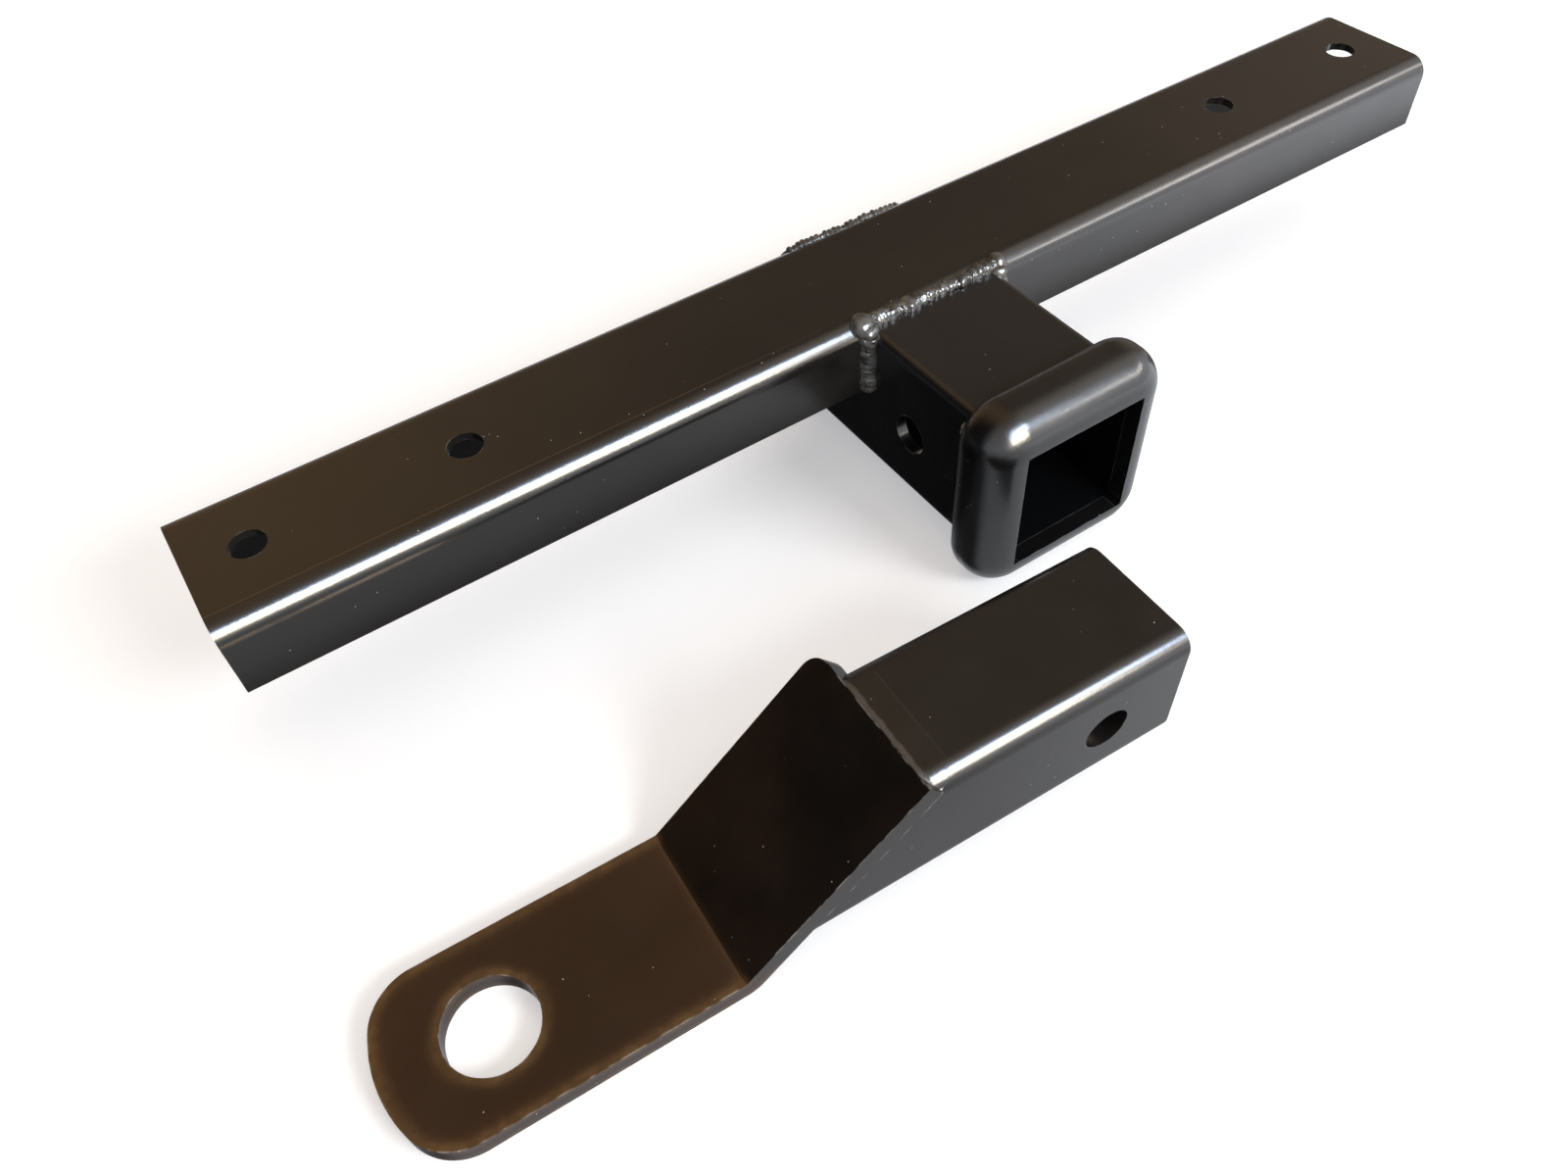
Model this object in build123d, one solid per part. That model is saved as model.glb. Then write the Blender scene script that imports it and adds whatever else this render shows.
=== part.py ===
from build123d import *
import math
import os

# Crossbar: one strip of sheet folded into a channel that opens downwards
bar_length = 578.0
web_width = 63.5
leg_height = 31.2
sheet = 3.2
fold_radius = 8.5
bolt_hole_diameter = 13.5
bolt_hole_inset = 22.5
bolt_pair_pitch = 80.0

# Receiver: a square tube that passes under the web, and the collar round its mouth
receiver_width = 63.5
receiver_wall = 4.75
receiver_corner = 4.0
receiver_bore_corner = 1.5
receiver_reach = 87.0
notch_gap = 0.3
pin_hole_diameter = 16.7
receiver_pin_setback = 60.2
receiver_pin_drop = 2.4

collar_overhang = 10.0
collar_length = 26.5
collar_corner = 17.0
collar_front_round = 14.0
collar_rear_round = 9.8
collar_lip = 7.0
collar_lip_step = 0.3
collar_mouth_corner = 3.0
collar_seat_gap = 0.1

# Drawbar: a square tube shank, cut on a slant and closed by a bent plate
shank_width = 50.8
shank_wall = 6.35
shank_corner = 7.0
shank_bore_corner = 1.0
shank_foot_length = 149.1
shank_pin_setback = 30.0

tongue_width = 61.0
tongue_thickness = 8.0
tongue_edge_proud = 0.5
tongue_incline = 40.6
tongue_incline_length = 85.75
tongue_drop = 11.7
tongue_flat_length = 108.7
tongue_bend_radius = 1.5
tongue_tip_radius = 51.0
tongue_tip_corner = 20.0
tongue_top_corner = 7.0
ball_hole_diameter = 31.5
ball_hole_from_tip = 36.4

# Where the drawbar lies, in front of the crossbar and on the same floor
drawbar_across = -33.2
drawbar_ahead = 179.4
drawbar_turn = -2.63

# Weld beads: the pitch of their ripples and the size of each run
ripple_pitch = 6.0
ripple_depth = 0.6
bead_end_round = 1.2
top_bead_radius = 3.6
top_bead_inset = 2.8
top_bead_depth = 2.4
side_bead_radius = 8.8
side_bead_sink = 2.5
side_bead_start = 3.4
corner_lump_radius = 4.6
corner_lump_out = 1.4
rear_bead_radius = 2.3
rear_bead_inset = 1.8
rear_lump_radius = 3.0
rear_lump_across = 17.0
seam_bead_radius = 3.2
seam_bead_sink = 0.8
collar_bead_radius = 3.4
dressed_length = 6.0
dressed_bulge = 0.3
back_bead_radius = 7.0
back_bead_sink = 2.0
back_bead_end_inset = 8.0
foot_bead_radius = 4.4
foot_bead_sink = 2.4

# Places that follow from those sizes
front_face = -web_width / 2
rear_face = web_width / 2
receiver_half = receiver_width / 2
receiver_axis = -sheet - receiver_half
receiver_bore = receiver_width - 2 * receiver_wall
mouth_face = front_face - receiver_reach
collar_rear = mouth_face + collar_length
tube_front = mouth_face + collar_lip
floor_level = receiver_axis - receiver_half - collar_overhang
bolt_hole_places = [
    side * (bar_length / 2 - bolt_hole_inset - step)
    for side in (-1, 1)
    for step in (0, bolt_pair_pitch)
]

slope = math.radians(tongue_incline)
shank_half = shank_width / 2
tongue_front = -shank_half - tongue_edge_proud
tongue_middle = tongue_front + tongue_width / 2


def point_on_slant(height):
    """Distance along the shank of the slanted cut, at a height above the shank's underside."""
    return -shank_foot_length + height / math.tan(slope)


# The plate's inner face lies on the slanted cut, and its outer face one thickness beyond it
normal_run = tongue_thickness * math.sin(slope)
normal_rise = tongue_thickness * math.cos(slope)
tongue_underside = -tongue_drop
tongue_upper_face = tongue_underside + tongue_thickness
bend_place = point_on_slant(tongue_upper_face - normal_rise) - normal_run
tip_place = bend_place - tongue_flat_length
plate_end_run = bend_place + tongue_incline_length * math.cos(slope)
plate_end_height = tongue_upper_face + tongue_incline_length * math.sin(slope)
drawbar_lift = floor_level - tongue_underside


def square_bar(width, corner, start, length):
    """A solid bar with rounded corners, from y = start towards -Y, on the receiver's axis."""
    place = Plane(origin=(0, start, receiver_axis), x_dir=(1, 0, 0), z_dir=(0, -1, 0))
    return extrude(place * RectangleRounded(width, width, corner), amount=length)


def channel_envelope():
    """The crossbar's outer form, not hollowed and not notched."""
    block = Pos(0, -leg_height / 2) * Rectangle(web_width, leg_height)
    block = fillet(block.vertices().group_by(Axis.Y)[-1], fold_radius)
    return extrude(Plane.YZ * block, amount=bar_length / 2, both=True)


def receiver_envelope():
    """The receiver tube's outer form, not hollowed."""
    return square_bar(receiver_width, receiver_corner, rear_face, rear_face - tube_front)


def crossbar_channel():
    """The folded channel, notched in both legs for the tube and drilled in its web."""
    inside_width = web_width - 2 * sheet
    inside_height = leg_height - sheet
    hollow = Pos(0, -sheet - inside_height / 2) * Rectangle(inside_width, inside_height)
    hollow = fillet(hollow.vertices().group_by(Axis.Y)[-1], fold_radius - sheet)
    channel = channel_envelope() - extrude(Plane.YZ * hollow, amount=bar_length / 2, both=True)
    notch_width = receiver_width + 2 * notch_gap
    notch = Box(notch_width, web_width, leg_height, align=(Align.CENTER, Align.CENTER, Align.MAX))
    channel -= Pos(0, 0, -sheet) * notch
    for across in bolt_hole_places:
        channel -= Pos(across, 0, -sheet / 2) * Cylinder(bolt_hole_diameter / 2, 2 * sheet)
    return channel


def pin_bore(length):
    """A cylinder along X for the cross pin."""
    return Rot(0, 90, 0) * Cylinder(pin_hole_diameter / 2, length)


def receiver_tube():
    """The receiver's square tube, open at both ends, with its cross pin hole."""
    bore_length = rear_face - tube_front
    tube = receiver_envelope() - square_bar(receiver_bore, receiver_bore_corner, rear_face, bore_length)
    pin_place = Pos(0, mouth_face + receiver_pin_setback, receiver_axis - receiver_pin_drop)
    return tube - pin_place * pin_bore(2 * receiver_width)


def receiver_collar():
    """The thick rounded collar that the tube's end sits in, with a lip that covers that end."""
    outer_width = receiver_width + 2 * collar_overhang
    collar = square_bar(outer_width, collar_corner, collar_rear, collar_length)
    collar = fillet(collar.edges().group_by(Axis.Y)[0], collar_front_round)
    collar = fillet(collar.edges().group_by(Axis.Y)[-1], collar_rear_round)
    seat_width = receiver_width + 2 * collar_seat_gap
    seat_corner = receiver_corner + collar_seat_gap
    collar -= square_bar(seat_width, seat_corner, collar_rear, collar_length - collar_lip)
    mouth_width = receiver_bore + 2 * collar_lip_step
    return collar - square_bar(mouth_width, collar_mouth_corner, collar_rear, collar_length)


def rippled_line(first, last, crest):
    """The outline of weld ripples between two places along X, at a height above the axis."""
    valley = crest - ripple_depth
    count = max(2, round((last - first) / ripple_pitch))
    pitch = (last - first) / count
    outline = []
    for ripple in range(count):
        start = first + ripple * pitch
        rise, fall = start + pitch / 4, start + pitch * 3 / 4
        outline.append(Line((start, valley), (rise, crest)))
        outline.append(Line((rise, crest), (fall, crest)))
        outline.append(Line((fall, crest), (start + pitch, valley)))
    return outline


def ripple_rod(length, crest):
    """A round rod of weld ripples along X, centred on the origin, with bevelled ends."""
    valley = crest - ripple_depth
    low = -length / 2
    first = low + bead_end_round
    shoulder = valley - bead_end_round
    outline = [Line((low, 0), (low, shoulder)), Line((low, shoulder), (first, valley))]
    outline += rippled_line(first, -first, crest)
    outline.append(Line((-first, valley), (-low, shoulder)))
    outline.append(Line((-low, shoulder), (-low, 0)))
    outline.append(Line((-low, 0), (low, 0)))
    return revolve(make_face(outline), Axis.X)


def lumped_rod(length, crest, lump):
    """A rod of weld ripples along X whose ends swell into round lumps."""
    valley = crest - ripple_depth
    low = -length / 2
    first = low + lump + math.sqrt(lump**2 - valley**2)
    outline = [ThreePointArc((low, 0), (low + lump, lump), (first, valley))]
    outline += rippled_line(first, -first, crest)
    outline.append(ThreePointArc((-first, valley), (-low - lump, lump), (-low, 0)))
    outline.append(Line((-low, 0), (low, 0)))
    return revolve(make_face(outline), Axis.X)


def side_run_room():
    """The square corner between the tube's right side and the front leg, where a run lies."""
    reach = 2 * side_bead_radius
    height = leg_height - side_bead_start
    room = Box(reach, reach, height, align=(Align.MIN, Align.MAX, Align.MIN))
    return Pos(receiver_half, front_face, -leg_height) * room


def front_top_weld():
    """The run along the tube's top, in the groove below the web's front fold.

    It ends in a round lump over each side run.
    """
    length = receiver_width + 2 * (corner_lump_out + corner_lump_radius)
    rod = lumped_rod(length, top_bead_radius, corner_lump_radius)
    run = Pos(0, front_face + top_bead_inset, -top_bead_depth) * rod
    run = run - channel_envelope() - receiver_envelope()
    return run - side_run_room() - mirror(side_run_room(), about=Plane.YZ)


def front_side_weld():
    """The right run down the corner between the tube's side and the front leg."""
    length = leg_height - side_bead_start
    middle = -leg_height + length / 2
    centre = Pos(receiver_half - side_bead_sink, front_face + side_bead_sink, middle)
    rod = centre * Rot(0, 90, 0) * ripple_rod(length, side_bead_radius)
    return rod & side_run_room()


def rear_top_weld():
    """The run behind the web's rear fold, with a round lump over one stretch."""
    end = receiver_half - receiver_corner
    valley = rear_bead_radius - ripple_depth
    half_lump = math.sqrt(rear_lump_radius**2 - valley**2)
    lump_start = rear_lump_across - half_lump
    lump_end = rear_lump_across + half_lump
    outline = rippled_line(-end, lump_start, rear_bead_radius)
    outline.append(
        ThreePointArc((lump_start, valley), (rear_lump_across, rear_lump_radius), (lump_end, valley))
    )
    outline += rippled_line(lump_end, end, rear_bead_radius)
    outline.append(Line((end, valley), (end, 0)))
    outline.append(Line((end, 0), (-end, 0)))
    outline.append(Line((-end, 0), (-end, valley)))
    run = Pos(0, rear_face - rear_bead_inset, -sheet) * revolve(make_face(outline), Axis.X)
    return run - channel_envelope() - receiver_envelope()


def rear_seam_weld():
    """The right run up the flush seam between the tube's end and the rear leg."""
    high = -sheet - receiver_corner
    low = -leg_height
    middle = (high + low) / 2
    centre = Pos(receiver_half, rear_face - seam_bead_sink, middle)
    rod = centre * Rot(0, 90, 0) * ripple_rod(high - low, seam_bead_radius)
    reach = 2 * seam_bead_radius
    room = Box(2 * reach, reach, high - low, align=(Align.CENTER, Align.MIN, Align.CENTER))
    return rod & Pos(receiver_half, rear_face, middle) * room


def collar_side_weld():
    """The right run down the collar's rear edge, on the tube's side."""
    length = receiver_width - 2 * receiver_corner
    centre = Pos(receiver_half, collar_rear, receiver_axis)
    rod = centre * Rot(0, 90, 0) * ripple_rod(length, collar_bead_radius)
    reach = 2 * collar_bead_radius
    room = Box(reach, reach, length, align=(Align.MIN, Align.MIN, Align.CENTER))
    return rod & centre * room


def on_drawbar(shape):
    """Moves a shape from the drawbar's own frame to where the drawbar lies.

    In its own frame X runs along the shank to its free end at zero, Y runs across, and Z is
    the height above the shank's underside.
    """
    return Pos(drawbar_across, -drawbar_ahead, drawbar_lift) * Rot(0, 0, drawbar_turn) * shape


def slant_blank(reach):
    """The space on the plate's side of the slanted cut, as a wide block."""
    top = 2 * shank_width
    low = -shank_width
    outline = Polyline(
        (point_on_slant(low), low),
        (point_on_slant(top), top),
        (point_on_slant(low) - reach, top),
        (point_on_slant(low) - reach, low),
        close=True,
    )
    return extrude(Plane.XZ * make_face(outline), amount=shank_width, both=True)


def shank_bar(width, corner):
    """A solid bar of the shank's length, in the drawbar's frame, not yet cut on the slant."""
    place = Plane(origin=(0, 0, shank_half), x_dir=(0, 1, 0), z_dir=(-1, 0, 0))
    return extrude(place * RectangleRounded(width, width, corner), amount=shank_foot_length)


def shank_envelope():
    """The shank's outer form, cut on the slant and not hollowed."""
    return shank_bar(shank_width, shank_corner) - slant_blank(shank_width)


def drawbar_shank():
    """The shank tube with its slanted cut and cross pin hole."""
    shank = shank_envelope() - shank_bar(shank_width - 2 * shank_wall, shank_bore_corner)
    pin_place = Pos(-shank_pin_setback, 0, shank_half) * Rot(0, 0, 90)
    return shank - pin_place * pin_bore(2 * shank_width)


def tongue_side_profile():
    """The bent plate seen from the front, as a band of one thickness."""
    incline_end = (plate_end_run, plate_end_height)
    inner_end = (plate_end_run + normal_run, plate_end_height - normal_rise)
    knee_shift = tongue_thickness * math.tan(slope / 2)
    knee = (bend_place + knee_shift, tongue_underside)
    outline = Polyline(
        (tip_place, tongue_underside),
        knee,
        inner_end,
        incline_end,
        (bend_place, tongue_upper_face),
        (tip_place, tongue_upper_face),
        close=True,
    )
    band = make_face(outline)
    knees = {
        (bend_place, tongue_upper_face): tongue_bend_radius,
        knee: tongue_bend_radius + tongue_thickness,
    }
    for place, radius in knees.items():
        corner = band.vertices().sort_by_distance(Vector(place[0], place[1], 0))[0]
        band = fillet(corner, radius)
    return band


def tongue_plan():
    """The plate seen from above: a strip with a wide rounded tip and rounded upper corners."""
    half = tongue_width / 2
    arc_centre = tip_place + tongue_tip_radius
    arc_start = arc_centre - math.sqrt(tongue_tip_radius**2 - half**2)
    end = plate_end_run + normal_run + tongue_thickness
    outline = [
        Line((arc_start, -half), (end, -half)),
        Line((end, -half), (end, half)),
        Line((end, half), (arc_start, half)),
        ThreePointArc((arc_start, half), (tip_place, 0), (arc_start, -half)),
    ]
    plan = make_face(outline)
    tip_corners = plan.vertices().sort_by(Axis.X)[:2]
    return Pos(0, tongue_middle) * fillet(tip_corners, tongue_tip_corner)


def drawbar_tongue():
    """The plate that closes the shank's slanted end and runs out to the ball hole."""
    band = extrude(Plane.XZ * tongue_side_profile(), amount=2 * tongue_width, both=True)
    height = 2 * (plate_end_height - tongue_underside)
    plate = band & Pos(0, 0, -height / 2) * extrude(tongue_plan(), amount=2 * height)
    back_edge = tongue_middle + tongue_width / 2
    end_height = plate_end_height - normal_rise / 2
    end_run = plate_end_run + normal_run / 2
    corner = plate.edges().sort_by_distance(Vector(end_run, back_edge, end_height))[0]
    plate = fillet(corner, tongue_top_corner)
    hole_place = Pos(tip_place + ball_hole_from_tip, tongue_middle, tongue_underside)
    return plate - hole_place * Cylinder(ball_hole_diameter / 2, 4 * tongue_thickness)


def drawbar_top_weld():
    """The dressed run that fills the groove between the plate's end and the shank's top.

    It slopes down from the plate's edge, then lies flush with the shank. Its two ends are ground
    to flat facets over the shank's rounded corners.
    """
    shank_edge = point_on_slant(shank_width)
    toe = (shank_edge - dressed_length, shank_width)
    plate_edge = (plate_end_run, plate_end_height)
    crown = (
        (toe[0] + plate_edge[0]) / 2,
        (toe[1] + plate_edge[1]) / 2 + dressed_bulge,
    )
    groove = plate_end_height - normal_rise
    root = (point_on_slant(groove) - normal_run, groove)
    outline = [
        ThreePointArc(toe, crown, plate_edge),
        Line(plate_edge, root),
        Line(root, (shank_edge, groove)),
        Line((shank_edge, groove), (shank_edge, shank_width)),
        Line((shank_edge, shank_width), toe),
    ]
    run = extrude(Plane.XZ * make_face(outline), amount=shank_half, both=True)
    facet_foot = shank_width - shank_corner * (2 - math.sqrt(2)) + dressed_bulge
    top = plate_end_height + dressed_bulge
    facet_run = top - facet_foot
    ground = Polyline(
        (-shank_half, groove - 1),
        (-shank_half, facet_foot),
        (-shank_half + facet_run, top),
        (shank_half - facet_run, top),
        (shank_half, facet_foot),
        (shank_half, groove - 1),
        close=True,
    )
    run &= extrude(Plane.YZ * make_face(ground), amount=-shank_foot_length)
    return run - shank_envelope() - drawbar_tongue()


def drawbar_back_weld():
    """A run up the corner between the shank's back and the overhanging plate."""
    low = point_on_slant(back_bead_end_inset)
    high = point_on_slant(shank_width - back_bead_end_inset)
    length = (high - low) / math.cos(slope)
    corner = Plane(
        origin=((low + high) / 2, shank_half, shank_half),
        x_dir=(math.cos(slope), 0, math.sin(slope)),
        z_dir=(-math.sin(slope), 0, math.cos(slope)),
    )
    rod = Pos(0, -back_bead_sink, back_bead_sink) * ripple_rod(length, back_bead_radius)
    reach = 2 * back_bead_radius
    room = Box(length, reach, reach, align=(Align.CENTER, Align.MIN, Align.MAX))
    return corner.location * (rod & room)


def drawbar_foot_weld():
    """A run across the shank's underside, where it meets the plate."""
    length = shank_width - 2 * shank_corner
    rod = Rot(0, 0, 90) * ripple_rod(length, foot_bead_radius)
    lean = slope / 2
    centre_run = point_on_slant(0) - foot_bead_sink * math.sin(lean)
    run = Pos(centre_run, 0, foot_bead_sink * math.cos(lean)) * rod
    return run - shank_envelope() - drawbar_tongue()


def all_parts():
    """Every piece by name, in place."""
    parts = {
        "crossbar_channel": crossbar_channel(),
        "receiver_tube": receiver_tube(),
        "receiver_collar": receiver_collar(),
        "weld_front_top": front_top_weld(),
        "weld_rear_top": rear_top_weld(),
        "drawbar_shank": on_drawbar(drawbar_shank()),
        "drawbar_tongue": on_drawbar(drawbar_tongue()),
        "drawbar_weld_top": on_drawbar(drawbar_top_weld()),
        "drawbar_weld_back": on_drawbar(drawbar_back_weld()),
        "drawbar_weld_foot": on_drawbar(drawbar_foot_weld()),
    }
    paired = {
        "weld_front": front_side_weld(),
        "weld_rear": rear_seam_weld(),
        "collar_weld": collar_side_weld(),
    }
    for name, right in paired.items():
        parts[name + "_right"] = right
        parts[name + "_left"] = mirror(right, about=Plane.YZ)
    return parts


os.makedirs("parts", exist_ok=True)
for part_name, part in all_parts().items():
    export_step(part, "parts/" + part_name + ".step")
    print(part_name, len(part.solids()), "solid,", round(part.volume), "cubic millimetres")
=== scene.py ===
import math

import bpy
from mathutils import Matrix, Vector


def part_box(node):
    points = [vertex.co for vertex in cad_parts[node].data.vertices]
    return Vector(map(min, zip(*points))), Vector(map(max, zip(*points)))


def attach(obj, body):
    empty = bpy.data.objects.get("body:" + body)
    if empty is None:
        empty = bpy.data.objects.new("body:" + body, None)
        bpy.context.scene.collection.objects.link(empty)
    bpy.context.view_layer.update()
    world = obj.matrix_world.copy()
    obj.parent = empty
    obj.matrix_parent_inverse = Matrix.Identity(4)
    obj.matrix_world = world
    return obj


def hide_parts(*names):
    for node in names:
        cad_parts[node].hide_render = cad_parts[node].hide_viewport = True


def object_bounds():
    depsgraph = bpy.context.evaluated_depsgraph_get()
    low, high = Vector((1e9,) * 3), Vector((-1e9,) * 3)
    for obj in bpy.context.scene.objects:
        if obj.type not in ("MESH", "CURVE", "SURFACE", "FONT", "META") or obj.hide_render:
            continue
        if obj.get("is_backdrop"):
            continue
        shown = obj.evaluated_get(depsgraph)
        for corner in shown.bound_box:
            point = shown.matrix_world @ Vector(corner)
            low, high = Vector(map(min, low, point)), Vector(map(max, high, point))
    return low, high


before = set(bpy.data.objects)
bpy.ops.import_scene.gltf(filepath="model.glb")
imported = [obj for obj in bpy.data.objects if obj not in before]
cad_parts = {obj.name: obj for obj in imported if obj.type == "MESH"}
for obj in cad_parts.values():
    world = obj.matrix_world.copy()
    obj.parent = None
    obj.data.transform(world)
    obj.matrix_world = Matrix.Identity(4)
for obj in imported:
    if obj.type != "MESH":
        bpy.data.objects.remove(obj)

# %% [markdown]
# # A golf cart hitch, laid out in two pieces
#
# The hitch is two weldments. The crossbar is a folded steel channel with a square receiver tube
# welded under it, and a heavy rounded collar round the tube's mouth. The drawbar is a square
# shank with a bent plate that carries the tow ball. Both wear the same satin black paint.
#
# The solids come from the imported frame, in metres, and are never moved. What this lesson makes
# is the camera, the studio, the paint on every piece, and the weld beads.

cad_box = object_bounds()
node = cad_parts
mm = 0.001
print("frame:", len(node), "nodes,", [round(v / mm, 1) for v in cad_box[1] - cad_box[0]], "mm")

# %% [markdown]
# ## The camera
#
# The photograph was taken close to the hitch with a wide lens, so its perspective is strong:
# the near end of the channel looks much bigger than the far end. A camera like that is described
# by where it stands, where it looks, and how wide its lens is. The frame of the photograph isn't
# centred on the lens, and the two shifts put that back.

# %% Camera
camera_place = Vector((-257.8, -335.0, 287.8)) * mm
camera_forward = Vector((0.3112, 0.5538, -0.7723)).normalized()
camera_right = Vector((0.8339, -0.5490, -0.0576)).normalized()
camera_up = camera_right.cross(camera_forward).normalized()

lens = bpy.data.cameras.new("photo_lens")
lens.sensor_width = 36
lens.lens = 27.76
lens.shift_x = 0.0099
lens.shift_y = 0.0170
lens.clip_start = 0.01
camera = bpy.data.objects.new("photo_camera", lens)
turned = Matrix((camera_right, camera_up, -camera_forward)).transposed()
camera.matrix_world = Matrix.Translation(camera_place) @ turned.to_4x4()
bpy.context.scene.collection.objects.link(camera)
bpy.context.scene.camera = camera
bpy.context.scene.view_settings.view_transform = "Standard"
print("camera stands", round(camera_place.length, 3), "m from the channel")

# %% [markdown]
# ## Building shader trees
#
# Every finish below is a tree of nodes. Three small helpers keep the lesson short: one turns a
# colour on screen into the linear values that nodes use, one adds a node and sets its values,
# and one opens a new shader group with named sockets.

# %% Helpers for node trees
def colour(red, green, blue):
    """A colour as it reads on screen, from 0 to 255, in the linear values that nodes use."""
    channels = [value / 255 for value in (red, green, blue)]
    linear = [v / 12.92 if v <= 0.04045 else ((v + 0.055) / 1.055) ** 2.4 for v in channels]
    return (*linear, 1.0)


def add(tree, kind, place=(0, 0), values=None, **settings):
    """Adds a node, sets its own settings, then its unlinked inputs by name or number."""
    made = tree.nodes.new(kind)
    made.location = place
    for name, value in settings.items():
        setattr(made, name, value)
    for socket, value in (values or {}).items():
        made.inputs[socket].default_value = value
    return made


def shader_group(name, inputs, outputs):
    """An empty shader group with named sockets, and its input and output nodes."""
    tree = bpy.data.node_groups.new(name, "ShaderNodeTree")
    for label, kind, value in inputs:
        socket = tree.interface.new_socket(label, in_out="INPUT", socket_type=kind)
        if value is not None:
            socket.default_value = value
    for label, kind in outputs:
        tree.interface.new_socket(label, in_out="OUTPUT", socket_type=kind)
    return tree, add(tree, "NodeGroupInput", (-900, 0)), add(tree, "NodeGroupOutput", (700, 0))


FLOAT, VECTOR, COLOUR = "NodeSocketFloat", "NodeSocketVector", "NodeSocketColor"
print("helpers ready")

# %% [markdown]
# ## The studio
#
# Black paint shows almost nothing but reflections, so the room matters more than the paint's
# colour. The tops of the pieces mirror what stands behind and above them: a dim warm room,
# brightest straight behind. Their fronts mirror the pale ground, which is brighter to the right.
# The fold between the two mirrors the windows in front, and that is the bright line along the
# channel.
#
# The camera sees the floor as near white, with the soft shadow of the pieces, and it fades to
# plain white far from the hitch, so that no horizon shows. A mirrored ray sees it as a grey glow,
# an emission painted in the tones that the pieces' fronts have in the photograph, brighter to the
# right. Painted shade makes it darkest under the channel and to a mirror that faces back and left,
# as the receiver's flank does, and that is why those faces are almost black.

# %% Floor
floor_level = cad_box[0].z
floor_half = 6.0
floor_mesh = bpy.data.meshes.new("floor")
corners = [(-1, -1), (1, -1), (1, 1), (-1, 1)]
floor_mesh.from_pydata(
    [(x * floor_half, y * floor_half, floor_level) for x, y in corners], [], [(0, 1, 2, 3)]
)
floor = bpy.data.objects.new("floor", floor_mesh)
bpy.context.scene.collection.objects.link(floor)
floor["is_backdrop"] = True

pale = bpy.data.materials.new("pale_ground")
pale.use_nodes = True
tree = pale.node_tree
tree.nodes.clear()
ray = add(tree, "ShaderNodeLightPath", (-700, 300))
where = add(tree, "ShaderNodeTexCoord", (-900, -150))
across = add(tree, "ShaderNodeSeparateXYZ", (-700, -150))
# The mirrored floor's glow is painted brighter to the right.
to_right = add(
    tree, "ShaderNodeMapRange", (-500, -150),
    {"From Min": -0.10, "From Max": 0.42, "To Min": 0.50, "To Max": 1.75},
)
# Painted shade on the mirrored floor, darkest under the channel.
from_axis = add(tree, "ShaderNodeMath", (-700, -350), {1: 0.0075}, operation="ADD")
either_way = add(tree, "ShaderNodeMath", (-600, -350), operation="ABSOLUTE")
under = add(
    tree, "ShaderNodeMapRange", (-500, -350),
    {"From Min": 0.064, "From Max": 0.083, "To Min": 0.14, "To Max": 1.0},
)
# Painted shade on the mirrored floor, for a mirror that faces back and left as the receiver's
# flank does.
glance = add(tree, "ShaderNodeNewGeometry", (-900, -650))
back_from = add(tree, "ShaderNodeSeparateXYZ", (-700, -650))
backwards = add(tree, "ShaderNodeMapRange", (-500, -550), {"From Min": 0.30, "From Max": -0.02})
leftwards = add(tree, "ShaderNodeMapRange", (-500, -750), {"From Min": 0.15, "From Max": 0.40})
flank = add(tree, "ShaderNodeMath", (-300, -650), operation="MULTIPLY")
kept = add(tree, "ShaderNodeMapRange", (-150, -650), {"To Min": 1.0, "To Max": 0.10})
shaded = add(tree, "ShaderNodeMath", (-300, -350), operation="MULTIPLY")
mirrored = add(tree, "ShaderNodeMath", (-150, -250), operation="MULTIPLY")
# To mirrored rays the floor is a grey emission, a painted reflection of the ground with this
# painted shade.
grey = add(tree, "ShaderNodeEmission", (50, -150), {"Color": colour(246, 249, 255)})
white = add(tree, "ShaderNodeEmission", (-300, 150), {"Color": colour(250, 251, 255)})
reach = add(tree, "ShaderNodeVectorMath", (-900, 100), operation="LENGTH")
far_off = add(
    tree, "ShaderNodeMapRange", (-700, 100),
    {"From Min": 0.7, "From Max": 2.6, "To Min": 0.42, "To Max": 1.0},
)
glow = add(tree, "ShaderNodeMath", (-500, 200), operation="MULTIPLY")
chalk = add(tree, "ShaderNodeBsdfDiffuse", (-300, 0), {"Color": (0.78, 0.78, 0.79, 1)})
lit = add(tree, "ShaderNodeAddShader", (-100, 100))
chosen = add(tree, "ShaderNodeMixShader", (150, 0))
out = add(tree, "ShaderNodeOutputMaterial", (350, 0))
tree.links.new(where.outputs["Object"], reach.inputs[0])
tree.links.new(reach.outputs["Value"], far_off.inputs["Value"])
tree.links.new(far_off.outputs["Result"], glow.inputs[1])
tree.links.new(ray.outputs["Is Camera Ray"], glow.inputs[0])
tree.links.new(glow.outputs[0], white.inputs["Strength"])
tree.links.new(white.outputs[0], lit.inputs[0])
tree.links.new(chalk.outputs[0], lit.inputs[1])
tree.links.new(where.outputs["Object"], across.inputs[0])
tree.links.new(across.outputs["X"], to_right.inputs["Value"])
tree.links.new(across.outputs["Y"], from_axis.inputs[0])
tree.links.new(from_axis.outputs[0], either_way.inputs[0])
tree.links.new(either_way.outputs[0], under.inputs["Value"])
tree.links.new(glance.outputs["Incoming"], back_from.inputs[0])
tree.links.new(back_from.outputs["Y"], backwards.inputs["Value"])
tree.links.new(back_from.outputs["X"], leftwards.inputs["Value"])
tree.links.new(backwards.outputs["Result"], flank.inputs[0])
tree.links.new(leftwards.outputs["Result"], flank.inputs[1])
tree.links.new(flank.outputs[0], kept.inputs["Value"])
tree.links.new(kept.outputs["Result"], shaded.inputs[0])
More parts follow.
